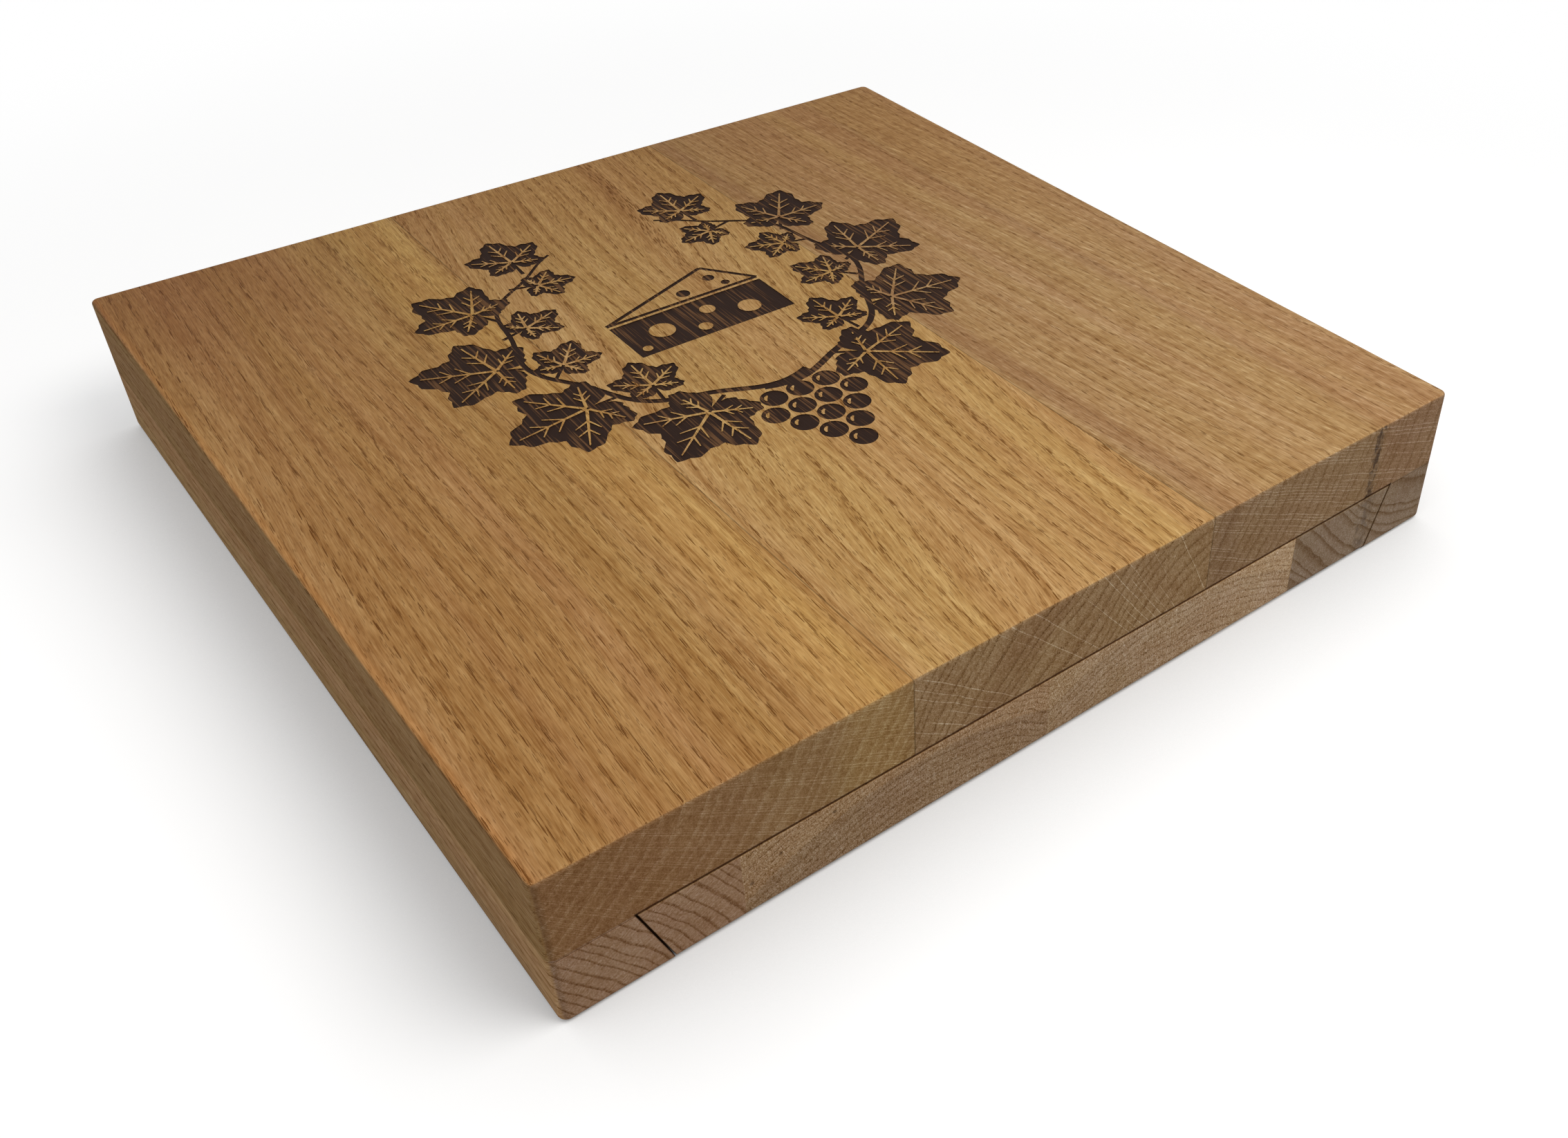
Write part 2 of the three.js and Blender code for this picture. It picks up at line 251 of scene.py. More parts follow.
def wood(
    name,
    face,
    end,
    pith,
    ring,
    seed,
    lean=0.0,
    slant=0.0,
    drift=14,
    ripple=1.0,
    early=0.50,
    rings=0.17,
    face_rings=0.08,
    streaks=1.0,
    figure=0.2,
    grit=1.2,
    pores=0.8,
    end_pores=1.0,
    vessel=(0.42, 5.2),
    rays=0.5,
    fine_rays=0.24,
    ray_pitch=2.4,
    ray_half=0.09,
    flecks=0.2,
    fine_flecks=0.05,
    side_tint=(1, 1, 1, 1),
    marks=(),
):
    """Oiled ring-porous wood, by the mean colours of its faces and its end grain.

    pith is (x, z), ring the usual width of a ring, and early the share of it that is early wood.
    lean is how far the grain drifts in X per Y and slant how far the rays do along the rings, drift
    how far the fibres wander, and ripple how much they waver over short lengths. rings and face_rings
    say how dark early wood is on end grain and on faces. streaks, figure, grit and pores are strengths,
    end_pores scales the pores on end grain, and vessel is the width and length of a large one. rays and
    fine_rays say how pale rays are on end grain, flecks and fine_flecks how pale on faces, ray_pitch
    how far apart the long ones lie and ray_half half how thick they are. side_tint is painted light: a
    tint of the long upright sides that stands in for the light they get. marks are tints of single
    places.
    """
    paint = Paint(name)
    x, y, z = paint.place()
    facing = paint.facing()
    cut = facing[1].ramp(0.55, 0.85)
    up = facing[2].ramp(0.4, 0.9)

    # Fibres wander a little on their way along the stave.
    drift_x = paint.noise(x / 55 + seed, y / 230, z / 55) - 0.5
    drift_z = paint.noise(x / 55, y / 230 + seed, z / 55) - 0.5
    waver = (paint.noise(x / 9, y / 60 + seed, z / 9) - 0.5) * ripple
    u = x - y * lean + drift_x * drift + waver * 2.2
    v = z + drift_z * drift + waver * 2.2

    # Distance from the pith, and place within the year's ring
    across = u - pith[0]
    above = v - pith[1]
    radius = (across * across + above * above).math("SQRT")
    years = radius / ring + paint.noise(radius / 9, y / 900, seed) * 2.4
    year = years.math("FLOOR")
    season = years.math("FRACT")
    early_wood = season.ramp(0.10, early).inverted() * season.ramp(0.0, 0.06)
    yearly = paint.chance(year + seed) - 0.5

    # Large pores lie in the early wood, small ones everywhere. They lean a little more than the rings.
    w = u - y * 0.03
    bore, length = vessel
    large_far, large_number = paint.cells(w / bore, y / length, v / bore)
    scattered = cut.between(0.25, 0.0)
    rows = season.ramp(0.12, 0.30).inverted() * scattered.inverted() + scattered
    large = large_far.ramp(0.35, 0.46).inverted() * rows * large_number.between(0.4, 1.0)
    small_far, small_number = paint.cells(w / 0.30 + seed, y / 3.6, v / 0.30)
    small = small_far.ramp(0.26, 0.40).inverted() * small_number.ramp(0.5, 1.0)
    pore = large.math("MAXIMUM", small * cut.between(0.6, 0.3))
    pore = pore * cut.between(1, end_pores) * pores

    # Rays run out from the pith: long ones here and there, and many short fine ones.
    reach = math.hypot(pith[0], pith[1] - panel_z)
    straight = (z - pith[1]).math("ARCTAN2", x - y * lean - pith[0]) * reach
    lay = straight + y * slant + waver * 0.8
    long_ray = sheets(paint, lay, ray_pitch, ray_half, radius, y, (50, 7), seed)
    fine_ray = sheets(paint, lay, 0.62, 0.07, radius, y, (2.2, 3.4), seed + 5)
    shine = long_ray * cut.between(flecks, rays)
    shine = shine + fine_ray * cut.between(fine_flecks, fine_rays)

    # Tone along the grain, from short threads to broad swaths, a mottled figure across it, and grit
    thread = paint.noise(w / 0.34, y / 8, v / 0.34, detail=2.0) - 0.5
    streak = paint.noise(u / 1.3 + seed, y / 48, v / 1.3, detail=2.5) - 0.5
    swath = paint.noise(u / 9, y / 420 + seed, v / 9) - 0.5
    hue = paint.noise(u / 14 + seed, y / 500, v / 14).ramp(0.36, 0.64)
    mottle = (paint.noise(u / 6, y / 3 + seed, v / 6, detail=1.0) - 0.5) * cut.inverted()
    fine_grain = (paint.noise(x / 0.36, y / 0.36, z / 0.36, detail=2.0) - 0.5) * cut

    mean = paint.mix(cut, face, end)
    golden = paint.multiply(mean, (1.03, 1.03, 0.94, 1))
    ruddy = paint.multiply(mean, (1.00, 0.96, 0.95, 1))
    colour = paint.mix(cut * 0.7, paint.mix(hue, golden, ruddy), mean)
    level = thread * 1.2 + streak * (streaks * 0.7) + swath * 0.40 + yearly * 0.07 + 1
    level = level + mottle * figure
    level = level * (early_wood * cut.between(face_rings, rings)).inverted()
    level = level * (fine_grain * grit + 1) * (shine + 1)
    colour = paint.multiply(colour, paint.tone(level))
    hollow = paint.multiply(mean, (0.37, 0.25, 0.13, 1))
    colour = paint.mix(pore, colour, hollow)
    for mark in marks:
        colour = mark(paint, colour, (x, y, z), cut)
    # Painted light: the long upright sides get a tint of their own that stands in for the light they get.
    sideways = facing[0].ramp(0.5, 0.9)
    colour = paint.tint(sideways, colour, side_tint)

    relief = thread * 0.5 - pore * 0.8
    roughness = up * -0.38 + thread * 0.2 + pore * 0.1 + 0.88
    return paint.finish(colour, roughness, relief, 0.10, specular=0.05)


# Marks. Each makes a function that changes a wood's colour at a place. cut is 1 on end grain.


def seam(axis, place, half=0.12, strength=0.4):
    """A glue line: the thin dark line where two pieces of wood meet."""

    def mark(paint, colour, point, cut):
        near = (point[axis] - place).abs().ramp(half, half * 2.2).inverted()
        return paint.dim(colour, (near * strength).inverted())

    return mark


def band(place, half, factor):
    """Another tint over a band of X, such as a golden or a dark streak."""

    def mark(paint, colour, point, cut):
        x, y, _ = point
        wander = (paint.noise(0, y / 60, place) - 0.5) * half
        near = (x + wander - place).abs().ramp(half * 0.4, half * 1.5).inverted()
        return paint.tint(near, colour, factor)

    return mark


def beyond(start, finish, factor, on_end=1.0, on_face=1.0):
    """Another tint that comes in from one X to another and stays, by its strength on each cut."""

    def mark(paint, colour, point, cut):
        share = ((point[0] - start) / (finish - start)).ramp(0, 1)
        return paint.tint(share * cut.between(on_face, on_end), colour, factor)

    return mark


def shade_patch(x, y, start, finish, factor):
    """Painted shade: another tint about a place on the top, fading out between two distances."""

    def mark(paint, colour, point, cut):
        away = ((point[0] - x).math("POWER", 2) + (point[1] - y).math("POWER", 2)).math("SQRT")
        on_top = point[2].ramp(top_z - 1.2, top_z - 0.4)
        return paint.tint(away.ramp(start, finish).inverted() * on_top, colour, factor)

    return mark


def outer_rings(pith, start, factor):
    """Another tint outside a ring about a pith at (x, z), seen on end grain."""

    def mark(paint, colour, point, cut):
        x, _, z = point
        across = x - pith[0]
        above = z - pith[1]
        jagged = (paint.noise(x / 1.2, 0, z / 1.2) - 0.5) * 1.6
        away = (across * across + above * above).math("SQRT") + jagged
        return paint.tint(away.ramp(start, start + 1) * cut, colour, factor)

    return mark


def mineral(place, half, on_face, factor):
    """A dark mineral streak with a ragged edge, strongest on the end grain."""

    def mark(paint, colour, point, cut):
        x, y, z = point
        ragged = (paint.noise(x / 1.6, y / 30, z / 2.2, detail=3.0) - 0.5) * 7 * half
        blotch = paint.noise(x / 2.5, y / 25, z / 3.5, detail=2.0).ramp(0.36, 0.58)
        near = (x - place + ragged).abs().ramp(half * 0.5, half * 1.9).inverted()
        return paint.tint(near * blotch.between(0.35, 1) * cut.between(on_face, 1), colour, factor)

    return mark


def speck(place_x, place_z, size):
    """A small dark knot mark on the end grain."""

    def mark(paint, colour, point, cut):
        x, _, z = point
        off = paint.noise(x, 0, z, detail=2.0) * size
        away = ((x - place_x).math("POWER", 2) + (z - place_z).math("POWER", 2)).math("SQRT")
        near = (away + off).ramp(size * 0.7, size * 1.5).inverted() * cut * 0.75
        return paint.tint(near, colour, (0.25, 0.2, 0.18, 1))

    return mark


# Painted shade darkens the gap round the tray, whose flanks lean 20 degrees from upright.
gap_shade_tint = (0.22, 0.15, 0.12, 1)
flank_slope = math.tan(math.radians(20))


def shade_above_gap(half_width):
    """The panel's lower front edge, with painted shade dark along the gap over the tray."""

    def mark(paint, colour, point, cut):
        x, y, z = point
        within = x.abs().ramp(half_width, half_width + 0.3).inverted()
        inside = y.ramp(front_y + 1.5, front_y + 2).inverted()
        near = z.ramp(panel_z + 0.25, panel_z + 0.45).inverted() * within * inside
        return paint.tint(near * 0.9, colour, gap_shade_tint)

    return mark


def gap_edge_highlight_and_shade(top, deep):
    """The tray's upper front edge: a painted highlight a little paler on the end grain just under its
    top, and painted shade dark on top in the gap.
    """

    def mark(paint, colour, point, cut):
        _, y, z = point
        low = z.ramp(top, top + 0.05).inverted()
        # A painted highlight on the end grain just under the top edge
        pale = z.ramp(top - deep, top - deep / 2) * low * cut
        # Painted shade on the top, in the gap under the panel
        dark = z.ramp(top - 0.16, top - 0.08) * low * y.ramp(front_y + 0.9, front_y + 1.1).inverted()
        colour = paint.dim(colour, pale * 0.12 + 1)
        return paint.tint(dark * 0.9, colour, gap_shade_tint)

    return mark


def flank_gap_shade(foot, deep):
    """The flanks of the slide, with painted shade dark just inside its front."""

    def mark(paint, colour, point, cut):
        x, y, z = point
        from_flank = x.abs() - foot - z * flank_slope
        inside = y.ramp(front_y + deep, front_y + deep + 0.5).inverted()
        near = (from_flank + 0.25).abs().ramp(0.34, 0.42).inverted() * inside
        return paint.tint(near * 0.85, colour, gap_shade_tint)

    return mark


flank_foot = lowest("rail_right").x
# Painted shade in the gaps round the tray, and a painted highlight on the tray's front edge
slide_gap_light_and_shade = [gap_edge_highlight_and_shade(tray_z, 0.8), flank_gap_shade(flank_foot, 2.0)]
painted_gap_shade = shade_above_gap(flank_foot + panel_z * flank_slope)
oak_top_left = wood(
    "oak_top_left",
    face=srgb(179, 139, 87),
    end=srgb(137, 107, 71),
    pith=(-226, 117),
    ring=4.0,
    seed=3.7,
    lean=0.01,
    rings=-0.34,
    face_rings=0.07,
    ripple=0.5,
    pores=1.1,
    end_pores=0.35,
    vessel=(0.30, 7.0),
    rays=0.7,
    ray_pitch=1.1,
    ray_half=0.08,
    flecks=0.08,
    grit=0.7,
    streaks=1.4,
    side_tint=(0.76, 0.91, 1.14, 1),
    marks=[
        beyond(-70, -112, (0.93, 0.86, 0.88, 1)),
        beyond(-147, -149, (1.14, 1.08, 1.02, 1), on_end=0.0),
        beyond(-95, -130, (0.98, 0.92, 0.89, 1), on_face=0.0),
        # painted shade at the back of the top
        shade_patch(-160, 170, 20, 120, (0.80, 0.70, 0.66, 1)),
        band(-64, 10, (1.13, 1.15, 1.06, 1)),
        seam(0, left_joint_x),
        seam(2, panel_z, strength=0.12),
        painted_gap_shade,
    ],
)
oak_top_middle = wood(
    "oak_top_middle",
    face=srgb(186, 147, 95),
    end=srgb(144, 116, 83),
    pith=(105, -65),
    ring=3.9,
    seed=11.3,
    lean=0.09,
    drift=24,
    rings=0.20,
    face_rings=0.15,
    pores=1.2,
    vessel=(0.38, 5.0),
    streaks=1.4,
    rays=0.95,
    flecks=0.05,
    marks=[
        outer_rings((105, -65), 153, (0.90, 0.86, 0.84, 1)),
        outer_rings((105, -65), 165, (1.11, 1.16, 1.19, 1)),
        # painted shade at the back of the top
        shade_patch(10, 165, 20, 120, (0.90, 0.82, 0.78, 1)),
        seam(0, left_joint_x),
        seam(0, right_joint_x),
        painted_gap_shade,
    ],
)
oak_top_right = wood(
    "oak_top_right",
    face=srgb(173, 137, 95),
    end=srgb(137, 110, 81),
    pith=(-140, 135),
    ring=4.2,
    seed=23.9,
    lean=-0.02,
    slant=0.05,
    rings=0.14,
    face_rings=0.08,
    pores=0.95,
    vessel=(0.32, 3.6),
    rays=0.7,
    ray_pitch=0.7,
    ray_half=0.08,
    flecks=0.20,
    fine_flecks=0.20,
    figure=0.45,
    marks=[
        band(54, 5, (0.88, 0.85, 0.84, 1)),
        beyond(119, 124, (0.99, 0.94, 0.96, 1), on_face=0.3),
        # painted shade at the back of the top
        shade_patch(150, 150, 20, 190, (0.98, 0.88, 0.74, 1)),
        mineral(118.6, 1.2, 0.12, (0.34, 0.34, 0.40, 1)),
        seam(0, right_joint_x),
        seam(2, panel_z, strength=0.12),
        painted_gap_shade,
    ],
)
oak_left_edge = wood(
    "oak_left_edge",
    face=srgb(166, 132, 90),
    end=srgb(147, 115, 88),
    pith=(-208, -38),
    ring=2.7,
    drift=7,
    ripple=0.5,
    seed=31.1,
    early=0.32,
    rings=0.36,
    face_rings=0.18,
    pores=1.0,
    rays=0.6,
    fine_rays=0.45,
    ray_pitch=0.9,
    grit=0.7,
    side_tint=(1.36, 1.40, 1.57, 1),
    marks=[seam(2, panel_z, strength=0.12), *slide_gap_light_and_shade],
)
oak_lower_left = wood(
    "oak_lower_left",
    face=srgb(168, 130, 86),
    end=srgb(146, 119, 91),
    pith=(-50, -88),
    ring=2.4,
    seed=43.3,
    rings=0.12,
    rays=0.3,
    pores=1.2,
    grit=2.4,
    marks=[
        *slide_gap_light_and_shade,
        outer_rings((-50, -88), 106.5, (1.22, 1.21, 1.17, 1)),
        speck(-100.6, 10.5, 0.9),
        speck(-92.4, 15.0, 0.7),
        speck(-77.0, 18.5, 0.8),
    ],
)
oak_lower_right = wood(
    "oak_lower_right",
    face=srgb(174, 137, 93),
    end=srgb(156, 130, 101),
    pith=(38, -80),
    ring=2.4,
    seed=57.7,
    rings=0.10,
    rays=0.25,
    pores=1.2,
    grit=2.4,
    marks=[
        *slide_gap_light_and_shade,
        outer_rings((38, -80), 101.5, (1.12, 1.12, 1.10, 1)),
        beyond(0, 80, (1.16, 1.18, 1.22, 1)),
    ],
)
oak_right_edge = wood(
    "oak_right_edge",
    face=srgb(152, 124, 88),
    end=srgb(134, 114, 94),
    pith=(167, 94),
    ring=4.4,
    seed=71.9,
    rings=0.34,
    face_rings=0.2,
    rays=0.3,
    ray_pitch=1.4,
    marks=[
        mineral(119, 1.8, 0.0, (0.66, 0.66, 0.70, 1)),
        seam(2, panel_z, strength=0.12),
        *slide_gap_light_and_shade,
    ],
)
walnut = wood(
    "walnut",
    face=srgb(112, 70, 42),
    end=srgb(84, 53, 33),
    pith=(30, -140),
    ring=2.6,
    seed=87.1,
    rings=0.3,
    face_rings=0.3,
    pores=0.7,
    rays=0.1,
    flecks=0.02,
)


def charred():
    """Oak burnt dark brown, with paler fibres showing through along the grain."""
    paint = Paint("charred_oak")
    x, y, z = paint.place()
    wander = (paint.noise(x / 40, y / 200, z / 40) - 0.5) * 10
    fibre = paint.noise((x + wander) / 0.7, y / 26, z / 4, detail=2.0)
    cloud = paint.noise(x / 14, y / 22, z / 14, detail=2.0)
    bare = (fibre + cloud * 0.35).ramp(0.70, 0.84)
    colour = paint.mix(bare * 0.7, srgb(42, 28, 22), srgb(120, 86, 58))
    return paint.finish(colour, fibre * 0.2 + 0.7, fibre, 0.15, specular=0.1)


charred_oak = charred()


def linked(name, mesh):
    """A new object in the scene."""
    piece = bpy.data.objects.new(name, mesh)
    bpy.context.scene.collection.objects.link(piece)
    return piece


def built(name, points, faces, material):
    """A piece from points in millimetres and the faces between them."""
    mesh = bpy.data.meshes.new(name)
    mesh.from_pydata([Vector(point) * MM for point in points], [], faces)
    mesh.materials.append(material)
    return linked(name, mesh)


def copied(node, name, material):
    """A new piece in the shape of a CAD node, with its triangles joined into one skin."""
    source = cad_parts[node].data
    order = {}
    faces = []
    for polygon in source.polygons:
        spots = [tuple(round(c / MM, 4) for c in source.vertices[i].co) for i in polygon.vertices]
        faces.append([order.setdefault(spot, len(order)) for spot in spots])
    return built(name, list(order), faces, material)


def combine(piece, other, operation):
    """Cuts or joins a closed piece with another one, which is used up."""
    modifier = piece.modifiers.new("combine", "BOOLEAN")
    modifier.object = other
    modifier.operation = operation
    modifier.solver = "MANIFOLD"
    modifier.material_mode = "TRANSFER"
    graph = bpy.context.evaluated_depsgraph_get()
    result = bpy.data.meshes.new_from_object(piece.evaluated_get(graph))
    piece.modifiers.clear()
    piece.data = result
    bpy.data.objects.remove(other)


def smoothed(piece, angle=30):
    """Rounds shaded smooth, flat faces left flat, edges sharper than the angle left sharp."""
    piece.data.shade_smooth()
    piece.data.set_sharp_from_angle(angle=math.radians(angle))
    modifier = piece.modifiers.new("normals", "WEIGHTED_NORMAL")
    modifier.keep_sharp = True
    return piece


def stands_for(piece, node, body):
    """Puts a piece on a body in place of a CAD node, and hides the node."""
    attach(piece, body)
    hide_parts(node)


# Burnt wreath on the top: vine leaves and grapes round a wedge of cheese
wreath_x = -3
wreath_y = 36
wreath_radius = 58
burn_depth = 0.3
stem_width = 2.6
stem_wave = 1.6
stem_gap = 0.8
leaf_stand = 8

# Each leaf: degrees round from the wreath's foot, size, and 1 outside the stem or -1 inside it
wreath_leaves = [
    (25, 25, 1),
    (42, 15, -1),
    (56, 25, 1),
    (77, 14, -1),
    (88, 24, 1),
    (108, 13, -1),
    (120, 21, 1),
    (140, 12, -1),
    (151, 17, 1),
]
grape_rows = [3, 4, 3, 2, 1]
grape_radius = 4.2
grape_pitch = 9.2
grape_drop = 8.0


def rotated(points, angle, x=0, y=0, scale=1):
    """Points in plan rotated by an angle in degrees, scaled and moved."""
    c = math.cos(math.radians(angle)) * scale
    s = math.sin(math.radians(angle)) * scale
    return [(x + c * px - s * py, y + s * px + c * py) for px, py in points]


def circle(x, y, radius, steps=28):
    """Points round a circle in plan."""
    turns = [2 * math.pi * i / steps for i in range(steps)]
    return [(x + radius * math.cos(a), y + radius * math.sin(a)) for a in turns]


def strip(path, widths):
    """The outline of a band that follows a path, with its width at each point."""
    left = []
    right = []
    for i, (x, y) in enumerate(path):
        before = path[max(i - 1, 0)]
        after = path[min(i + 1, len(path) - 1)]
        along = Vector((after[0] - before[0], after[1] - before[1])).normalized()
        half = widths[i] / 2
        left.append((x - along.y * half, y + along.x * half))
        right.append((x + along.y * half, y - along.x * half))
    return left + right[::-1]


def taper(path, first, last):
    """A band that runs from one width to another."""
    steps = len(path) - 1
    return strip(path, [first + (last - first) * i / steps for i in range(steps + 1)])


def burn(outline, deep=burn_depth):
    """A closed outline in plan as a cutter that reaches into the top face."""
    area = sum(a[0] * b[1] - b[0] * a[1] for a, b in zip(outline, outline[1:] + outline[:1]))
    ring = outline if area > 0 else outline[::-1]
    count = len(ring)
    low = top_z - deep
    high = top_z + deep
    points = [(x, y, low) for x, y in ring] + [(x, y, high) for x, y in ring]
    faces = [[(i + 1) % count, i, count + i, count + (i + 1) % count][::-1] for i in range(count)]
    faces.append(list(range(count))[::-1])
    faces.append(list(range(count, 2 * count)))
    return built("burn", points, faces, charred_oak)


def spare(whole, outline):
    """Leaves a closed outline bare in a burnt form."""
    combine(whole, burn(outline, 2 * burn_depth), "DIFFERENCE")


def lobed(size):
    """The outline of a vine leaf about the foot of its stalk, its tip towards +Y."""
    lobes = [(90, 1.0, 27), (33, 0.86, 23), (147, 0.86, 23), (-26, 0.62, 20), (206, 0.62, 20)]
    heart = 0.40
    teeth = 26
    tooth_steps = 6
    steps = teeth * tooth_steps
    outline = []
    for i in range(steps):
        angle = -90 + 360 * i / steps
        radius = heart
        for lobe, reach, spread in lobes:
            away = (angle - lobe + 180) % 360 - 180
            radius += (reach - heart) * math.exp(-((away / spread) ** 2))
        notch = (angle + 90 + 180) % 360 - 180
        radius *= 1 - 0.82 * math.exp(-((notch / 13) ** 2))
        tooth = abs((i / tooth_steps) % 1 - 0.5) * 2
        radius *= 1 + 0.07 * (tooth - 0.5)
        outline.append(rotated([(size * radius, 0)], angle)[0])
    return outline


def leaf(size, angle, x, y):
    """A burnt vine leaf whose veins stay bare."""
    whole = burn(rotated(lobed(size), angle, x, y))
    for lobe, reach in [(0, 0.9), (57, 0.76), (-57, 0.76), (114, 0.5), (-114, 0.5)]:
        vein = [(0, size * reach * share) for share in (-0.04, 0.3, 0.6, 1)]
        spare(whole, rotated(taper(vein, 1.1, 0.45), angle + lobe, x, y))
        for share in (0.34, 0.58):
            foot = rotated([(0, size * reach * share)], lobe)[0]
            twig = [(0, -0.3), (0, size * reach * (0.36 - 0.22 * share))]
            for side in (-1, 1):
                branch = rotated(twig, lobe + side * 42, *foot)
                spare(whole, rotated(taper(branch, 0.7, 0.35), angle, x, y))
    return whole


def grape(x, y, radius):
    """A burnt grape with a bare curved highlight."""
    whole = burn(circle(x, y, radius))
    bow = 0.58 * radius
    glint = [(x + bow * math.cos(a), y + bow * math.sin(a)) for a in (1.9, 2.3, 2.7, 3.1)]
    spare(whole, strip(glint, [0.5, 1.0, 1.0, 0.5]))
    return whole


def on_wreath(turn, radius=wreath_radius):
    """A place at an angle in radians round the wreath's middle."""
    return (wreath_x + radius * math.cos(turn), wreath_y + radius * math.sin(turn))


def wreath():
    """Stems, leaves and grapes as one cutter."""
    foot = math.radians(-90)
    steps = 48
    parts = []
    for side in (-1, 1):
        path = []
        for i in range(steps + 1):
            turn = foot + side * math.radians(-8 + 168 * i / steps)
            path.append(on_wreath(turn, wreath_radius + stem_wave * math.sin(i * 0.55) + side * stem_gap))
        parts.append(burn(taper(path, stem_width, 1.0)))
        for swing, size, outside in wreath_leaves:
            turn = foot + side * math.radians(swing)
            x, y = on_wreath(turn, wreath_radius + outside * leaf_stand)
            outward = math.degrees(turn) - 90 + (0 if outside > 0 else 180)
            forward = side * (26 if outside > 0 else -40)
            parts.append(leaf(size, outward + forward, x, y))
            # The stalk leaves the stem a little before its leaf.
            start = on_wreath(turn - side * 0.09)
            stalk = [start, ((start[0] + x) / 2, (start[1] + y) / 2), (x, y)]
            parts.append(burn(taper(stalk, 1.3, 0.9)))
    for row, count in enumerate(grape_rows):
        for i in range(count):
            x = wreath_x + (i - (count - 1) / 2) * grape_pitch
            y = wreath_y - wreath_radius - 7 - row * grape_drop
            parts.append(grape(x, y, grape_radius))
    whole = parts[0]
    for part in parts[1:]:
        combine(whole, part, "UNION")
    return whole


def cheese_wedge():
    """A wedge of cheese from the side: a burnt front with bare holes under an outlined top."""
    left = wreath_x - 28
    right = wreath_x + 27
    base = wreath_y - 22
    shelf = wreath_y
    line = 1.4
    bare_holes = [(-15, -11, 4.2), (3, -8, 2.6), (15, -14, 3.8), (-3, -17, 2.3), (-24, -18, 1.6)]
    burnt_holes = [(2, 5.2, 2.3), (14, 9.5, 2.0), (17, 3.8, 1.5)]
    whole = burn([(left, base), (right, base), (right, shelf - 1), (left, shelf - 1)])
    for x, y, radius in bare_holes:
        spare(whole, circle(wreath_x + x, wreath_y + y, radius))
    peak = (wreath_x + 15, wreath_y + 17)
    rim = [(left, shelf + 0.8), peak, (right, shelf + 0.8), (left, shelf + 0.8)]
    for first, second in zip(rim, rim[1:]):
        combine(whole, burn(taper([first, second], line, line)), "UNION")
    for x, y, radius in burnt_holes:
        combine(whole, burn(circle(wreath_x + x, wreath_y + y, radius)), "UNION")
    return whole


def top_panel():
    """The top staves in the CAD's shape, with the design burnt into them."""
    design = wreath()
    combine(design, cheese_wedge(), "UNION")
    looks = {"left": oak_top_left, "middle": oak_top_middle, "right": oak_top_right}
    for side, material in looks.items():
        node = "top_stave_" + side
        piece = copied(node, node + "_burnt", material)
        cutter = linked("cutter", design.data.copy())
        combine(piece, cutter, "DIFFERENCE")
        smoothed(piece)
        stands_for(piece, node, "board")
    bpy.data.objects.remove(design)


def lower_layer():
    """The rails and the tray's staves in the CAD's shape, in oiled wood."""
    looks = {
        "rail_left": ("board", oak_left_edge, "oak_lower"),
        "rail_right": ("board", oak_right_edge, "oak_lower_right"),
        "tray_stave_left_edge": ("tray", oak_left_edge, "oak_lower"),
        "tray_stave_left": ("tray", oak_lower_left, "oak_lower"),
        "tray_stave_right": ("tray", oak_lower_right, "oak_lower"),
        "tray_stave_right_edge": ("tray", oak_right_edge, "oak_lower_right"),
    }
    for node, (body, material, slot) in looks.items():
        piece = smoothed(copied(node, node + "_oiled", material))
        stands_for(piece, node, body)


# Tools in the tray's bays. Each shape is drawn about its own axis and then set on the CAD's.
grind = 0.15  # what is left of a blade's thickness at its edge, as a share
neck_half = 4.5  # half a blade's width where it leaves its ferrule
blade_root = -4  # where a blade starts, inside its ferrule


def bezier(controls, steps=16):
    """The points of a curve after its first control."""
    degree = len(controls) - 1
    points = []
    for i in range(1, steps + 1):
        t = i / steps
        weights = [math.comb(degree, k) * t**k * (1 - t) ** (degree - k) for k in range(degree + 1)]
        points.append([sum(w * c[axis] for w, c in zip(weights, controls)) for axis in (0, 1)])
    return points


def drawn(start, *strokes):
    """An outline: a stroke of one point is a line, and one of more is a curve through its controls."""
    points = [start]
    for stroke in strokes:
        points += [stroke[0]] if len(stroke) == 1 else bezier([points[-1], *stroke])
    return points


def mirrored(half):
    """Half an outline and its mirror image beyond X = 0."""
    return half + [(-x, y) for x, y in reversed(half) if x > 0]


# Blade outlines in plan from the ferrule's nose, and the holes in them. n is half the neck's width, w
# half the blade's and l its length.


def flat_knife_outline(n, w, l):
    r = 2.5
    belly = [(n, 0.3 * l), (0.94 * w, 0.2 * l), (0.94 * w, 0.5 * l)]
    half = drawn((n, blade_root), [(n, 0.1 * l)], belly, [(w, l - r)], [(w, l), (w - r, l)])
    return mirrored(half), []


def cheese_fork_outline(n, w, l):
    prong = 0.46 * w
    inner = w - prong
    half = drawn(
        (n, blade_root),
        [(n, 0.12 * l)],
        [(n, 0.26 * l), (w, 0.24 * l), (w, 0.42 * l)],
        [(w, 0.84 * l)],
        [(w, 0.96 * l), (w - prong / 2, l)],
        [(inner, 0.96 * l), (inner, 0.84 * l)],
        [(inner, 0.5 * l)],
        [(inner, 0.43 * l), (0, 0.43 * l)],
    )
    return mirrored(half), []


def hard_cheese_knife_outline(n, w, l):
    shoulder = [(n, 0.16 * l), (w, 0.1 * l), (w, 0.36 * l)]
    belly = [(w, 0.62 * l), (0.4 * w, 0.84 * l), (0.1 * w, 0.98 * l)]
    half = drawn((n, blade_root), [(n, 0)], shoulder, belly, [(0.06 * w, l), (0, l)])
    return mirrored(half), []


